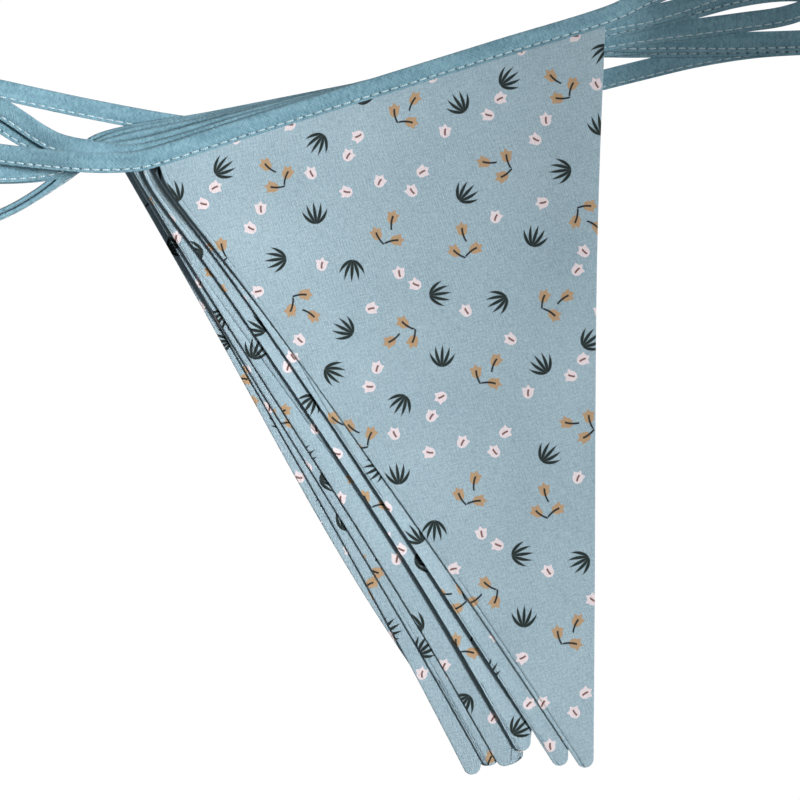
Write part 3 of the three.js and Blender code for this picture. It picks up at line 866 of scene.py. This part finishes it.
# The binding tape
# One strip of plain cotton cut on the bias, its edges turned in and folded double over the flags' top
# edges. Between the flags it is sewn shut on itself, and it goes on past both ends as a tie.
TAPE_STEP = 1.7
TURN_STEPS = 14
TURN_LIFT_RUN = 18
SLOT_AT_FLAG = 0.78
SLOT_CLOSED = 0.05
PRESSED = 0.5
ROLLED_LAYER = 2
BRIDGE_PLACE = np.array([-107, 74])
BRIDGE_REACH = 18
BRIDGE_HEIGHT = 2.8
UNDER_PRESSED = 0.5
STITCH_LINE = -2.2
STITCH_PITCH = 3.2
GROOVE = 0.32
SLIT_END = 2.1
BIAS = math.radians(45)
BINDING_ROUGHNESS = 0.9
BINDING_RELIEF = 0.0002
BIAS_STRETCH = (0.3, 2.6)
BIAS_CROSS_STRETCH = (2.6, 0.3)
STREAK_STRETCH = (1.5, 0.22)
WEAR_STRETCH = (0.06, 0.45)
BIAS_TONE = 0.7
STREAK_TONE = 0.6
WEAR_TONE = 0.7
STREAK_RISE = 0.5
HOLE_ALONG = (0.1, 0.6)
HOLE_ACROSS = (0.1, 0.45)
# How strongly the needle holes between the stitches are darkened, as painted shade
PAINTED_HOLE_SHADE_SHARE = 0.5
BINDING_DARK = (0.092, 0.191, 0.242, 1)
BINDING_PALE = (0.193, 0.339, 0.406, 1)
# The colour of the painted shade in the needle holes between the stitches
PAINTED_HOLE_SHADE = (0.035, 0.075, 0.090, 1)

# Half the tape's outline, from the inside of the slit round the open edge and over to the fold: the
# place across the tape, its height as shares of the tape's and the slit's half thickness, and what is
# added to the height in millimetres
LEAF_OUTLINE = [
    dict(across=1.5, outer=0, slit=0.9, add=0),
    dict(across=-0.8, outer=0, slit=1, add=0),
    dict(across=-3.0, outer=0, slit=1, add=0),
    dict(across=-3.22, outer=0.35, slit=0.65, add=0),
    dict(across=-3.25, outer=0.75, slit=0.25, add=0),
    dict(across=-3.12, outer=1, slit=0, add=-0.07),
    dict(across=-2.95, outer=1, slit=0, add=0),
    dict(across=-2.75, outer=1, slit=0, add=-0.04),
    dict(across=-2.5, outer=1, slit=0, add=-0.17),
    dict(across=STITCH_LINE, outer=1, slit=0, add=-GROOVE),
    dict(across=-1.85, outer=1, slit=0, add=-0.15),
    dict(across=-1.4, outer=1, slit=0, add=-0.02),
    dict(across=-0.1, outer=1, slit=0, add=0.04),
    dict(across=1.0, outer=1, slit=0, add=0.05),
    dict(across=1.9, outer=1, slit=0, add=0),
    dict(across=2.6, outer=1, slit=0, add=-0.16),
    dict(across=3.05, outer=1, slit=0, add=-0.48),
]


def beyond_flag(layer, points):
    """1 where the tape holds a flag, easing to 0 past its corners, and below 0 in the tie under them."""
    if layer == 0:
        return np.full(len(points), -UNDER_PRESSED)
    flag = FLAGS[layer - 1]
    along = np.abs((points - np.array([flag["x"], flag["y"]])) @ flag_axes(flag)[0])
    return eased(along - FLAG_END, THINNING)


def strand_rest(layer, points):
    """What the tape rests on in one layer: the pile, and beside the stack the loop on its edge."""
    height = pile(layer, points)
    if layer > ROLLED_LAYER:
        height += BRIDGE_HEIGHT * eased(np.linalg.norm(points - BRIDGE_PLACE, axis=1), BRIDGE_REACH)
    return height


def tape_strip(layer):
    """The tape's sections through one layer from left to right: the middle, the direction across, and
    how far a flag opens the tape, below 0 where the tape is pressed."""
    route = course(layer, TAPE_STEP)
    points = route[:, :2]
    roll = route[:, 2]
    sides = across_route(points)
    share = beyond_flag(layer, points) - PRESSED * np.sin(roll)
    half = outer_half(share)
    open_edge = strand_rest(layer, points - sides * HALF_TAPE)
    folded = strand_rest(layer, points + sides * HALF_TAPE)
    low = np.maximum((open_edge + folded) / 2, strand_rest(layer, points)) * np.cos(roll)
    for loop in LOOPS:
        if loop["upper"] == layer:
            end = points[-1] if loop["side"] == "right" else points[0]
            low = low + loop["lift"] * eased(np.linalg.norm(points - end, axis=1), TURN_LIFT_RUN)
    level = unit(np.column_stack([sides, (folded - open_edge) / TAPE_WIDTH]))
    across = level * np.cos(roll)[:, None] + np.multiply.outer(np.sin(roll), [0, 0, 1])
    height = low + half * np.cos(roll) + HALF_TAPE * np.sin(roll)
    return np.column_stack([points, height]), unit(across), share


def tape_turn(from_strip, to_strip):
    """Half a circle from the end of one strip into the start of the next."""
    start = from_strip[0][-1]
    end = to_strip[0][0]
    outward = start - from_strip[0][-2]
    outward = unit(outward * np.array([1, 1, 0]))
    centre = (start + end) / 2
    arm = (start - end) / 2
    angles = math.pi * np.arange(1, TURN_STEPS) / TURN_STEPS
    reach = np.linalg.norm(arm)
    middle = centre + np.multiply.outer(np.cos(angles), arm)
    middle = middle + np.multiply.outer(np.sin(angles), outward) * reach
    blend = (angles / math.pi)[:, None]
    across = unit(from_strip[1][-1] * (1 - blend) + to_strip[1][0] * blend)
    return middle, across, np.full(len(angles), from_strip[2][-1])


def whole_tape():
    """All sections from the top flag's free tie to the end of the tie under the stack."""
    strips = []
    for layer in range(LAYERS - 1, -1, -1):
        strip = tape_strip(layer)
        if (LAYERS - 1 - layer) % 2 == 1:
            strip = tuple(part[::-1] for part in strip)
        if strips:
            strips.append(tape_turn(strips[-1], strip))
        strips.append(strip)
    middle, across, share = (np.concatenate(parts) for parts in zip(*strips))
    along = np.gradient(middle, axis=0)
    normal = unit(np.cross(along, across))
    length = np.concatenate([[0], np.cumsum(np.linalg.norm(np.diff(middle, axis=0), axis=1))])
    return dict(middle=middle, across=across, normal=normal, share=share, length=length)


def outer_half(share):
    return TAPE_THICK / 2 + (TAPE_AT_FLAG - TAPE_THICK) / 2 * share


def tape_ring(share):
    """The closed outline at each section: places across the tape, and heights above its middle."""
    outer = outer_half(share)
    slit = SLOT_CLOSED + (SLOT_AT_FLAG - SLOT_CLOSED) * np.maximum(share, 0)
    across = np.array([row["across"] for row in LEAF_OUTLINE])
    heights = [row["outer"] * outer + row["slit"] * slit + row["add"] for row in LEAF_OUTLINE]
    upper = np.column_stack(heights)
    level = np.zeros((len(share), 1))
    ring = np.hstack([level, upper, level, -upper[:, ::-1]])
    return np.concatenate([[SLIT_END], across, [HALF_TAPE], across[::-1]]), ring


def bias_binding():
    made, shader, place = fabric("bias_binding", BINDING_ROUGHNESS)
    along = place.part(0)
    width = place.part(1)
    bias = place.turned(BIAS)
    thread = bias.noise(BIAS_STRETCH) + bias.noise(BIAS_CROSS_STRETCH)
    streak = place.noise(STREAK_STRETCH)
    wear = place.noise(WEAR_STRETCH, detail=2)
    tone = MIDDLE_TONE + BIAS_TONE * thread + STREAK_TONE * streak + WEAR_TONE * wear
    colour = tone.above(0, 1).colour(BINDING_DARK, BINDING_PALE)
    pitch = place.math("WRAP", along, STITCH_PITCH / 2, -STITCH_PITCH / 2)
    line = abs(width - STITCH_LINE)
    # The needle holes between the stitches on the stitch line dent the relief and darken the colour as
    # painted shade in the holes
    hole_dent_and_shade = (1 - abs(pitch).above(*HOLE_ALONG)) * (1 - line.above(*HOLE_ACROSS))
    colour = (PAINTED_HOLE_SHADE_SHARE * hole_dent_and_shade).colour(colour, PAINTED_HOLE_SHADE)
    dress(shader, colour, thread + STREAK_RISE * streak - hole_dent_and_shade, BINDING_RELIEF)
    return made


tape = whole_tape()
ring_across, ring_height = tape_ring(tape["share"])
ring_points = (tape["middle"][:, None, :] + tape["across"][:, None, :] * ring_across[None, :, None]
               + tape["normal"][:, None, :] * ring_height[:, :, None])
sections, ring_size = ring_height.shape
index = np.arange(sections * ring_size).reshape(sections, ring_size)
round_on = np.roll(index, -1, axis=1)
walls = np.dstack([index[:-1], index[1:], round_on[1:], round_on[:-1]]).reshape(-1, 4)
ends = [index[0].tolist(), index[-1][::-1].tolist()]
places = np.dstack(np.broadcast_arrays(tape["length"][:, None], ring_across[None, :])).reshape(-1, 2)
binding = cloth_piece("binding_tape", ring_points.reshape(-1, 3), walls.tolist() + ends,
                      places, bias_binding())
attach(binding, "root")
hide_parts("tape")

# The topstitching
# A row of pale lockstitches close to the tape's open edge closes it over the flags and on itself. The
# same stitches show on both faces, half a stitch apart.
STITCH_LENGTH = 2.65
STITCH_SIDES = 6
FRONT_START = 0.1
BACK_START = 0.6
THREAD_ROUGHNESS = 0.7
THREAD_RELIEF = 0.00006
TWIST_PITCH = 0.6
FIBRE_STRETCH = (0.8, 1.5)
THREAD_TONE = 0.6
# How far the twist darkens the thread in the grooves between its plies, as painted shade
TWIST_GROOVE_SHADE = 0.3
FIBRE_TONE = 0.5
THREAD_INK = (0.48, 0.62, 0.67, 1)
# The dark end of the thread's colour: its own uneven tone from the fibre noise, and the painted shade in
# the grooves between the plies
THREAD_DARK_AND_GROOVE_SHADE = (0.26, 0.38, 0.44, 1)

# One stitch from end to end: the share of its length, its height above the groove, and its radius
STITCH_RINGS = [
    dict(share=0, rise=-0.12, radius=0.1),
    dict(share=0.12, rise=0.12, radius=0.26),
    dict(share=0.5, rise=0.2, radius=0.31),
    dict(share=0.88, rise=0.12, radius=0.26),
    dict(share=1, rise=-0.12, radius=0.1),
]


def along_tape(name, lengths):
    """A quantity of the tape's sections at given lengths along it."""
    values = tape[name]
    if values.ndim == 1:
        return np.interp(lengths, tape["length"], values)
    parts = [np.interp(lengths, tape["length"], values[:, i]) for i in range(3)]
    return np.stack(parts, axis=-1)


def stitch_row(face):
    """The points of all stitches on one face of the tape, and their places round and along the thread."""
    first = STITCH_PITCH * (FRONT_START if face > 0 else BACK_START)
    starts = np.arange(first, tape["length"][-1] - STITCH_PITCH, STITCH_PITCH)
    shares = np.array([row["share"] for row in STITCH_RINGS])
    rise = np.array([row["rise"] for row in STITCH_RINGS])
    radius = np.array([row["radius"] for row in STITCH_RINGS])
    lengths = starts[:, None] + shares * STITCH_LENGTH
    across = along_tape("across", lengths)
    normal = along_tape("normal", lengths) * face
    groove = outer_half(along_tape("share", lengths)) - GROOVE
    middle = along_tape("middle", lengths) + across * STITCH_LINE + normal * (groove + rise)[..., None]
    angles = 2 * math.pi * np.arange(STITCH_SIDES) / STITCH_SIDES
    spin = face * angles
    around = (across[:, :, None, :] * np.cos(spin)[:, None] + normal[:, :, None, :] * np.sin(spin)[:, None])
    points = middle[:, :, None, :] + around * radius[:, None, None]
    places = np.broadcast_arrays(angles[None, None, :], lengths[:, :, None])
    return points, np.stack(places, axis=-1)


def pale_thread():
    made, shader, place = fabric("pale_thread", THREAD_ROUGHNESS)
    twist = place.math("SINE", place.part(0) + place.part(1) * (2 * math.pi / TWIST_PITCH))
    fibre = place.noise(FIBRE_STRETCH)
    # The twist term darkens the colour along the grooves between the plies as painted shade; the fibre
    # noise is the thread's own uneven tone
    tone = THREAD_TONE + TWIST_GROOVE_SHADE * twist + FIBRE_TONE * fibre
    dress(shader, tone.above(0, 1).colour(THREAD_DARK_AND_GROOVE_SHADE, THREAD_INK), twist, THREAD_RELIEF)
    return made


stitch_points, stitch_places = (np.concatenate(parts) for parts in zip(stitch_row(1), stitch_row(-1)))
count, rings, sides, _ = stitch_points.shape
index = np.arange(count * rings * sides).reshape(count, rings, sides)
round_on = np.roll(index, -1, axis=2)
walls = np.stack([index[:, :-1], index[:, 1:], round_on[:, 1:], round_on[:, :-1]], axis=-1).reshape(-1, 4)
ends = index[:, 0].tolist() + index[:, -1, ::-1].tolist()
stitching = cloth_piece("topstitching", stitch_points.reshape(-1, 3), walls.tolist() + ends,
                        stitch_places.reshape(-1, 2), pale_thread())
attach(stitching, "root")
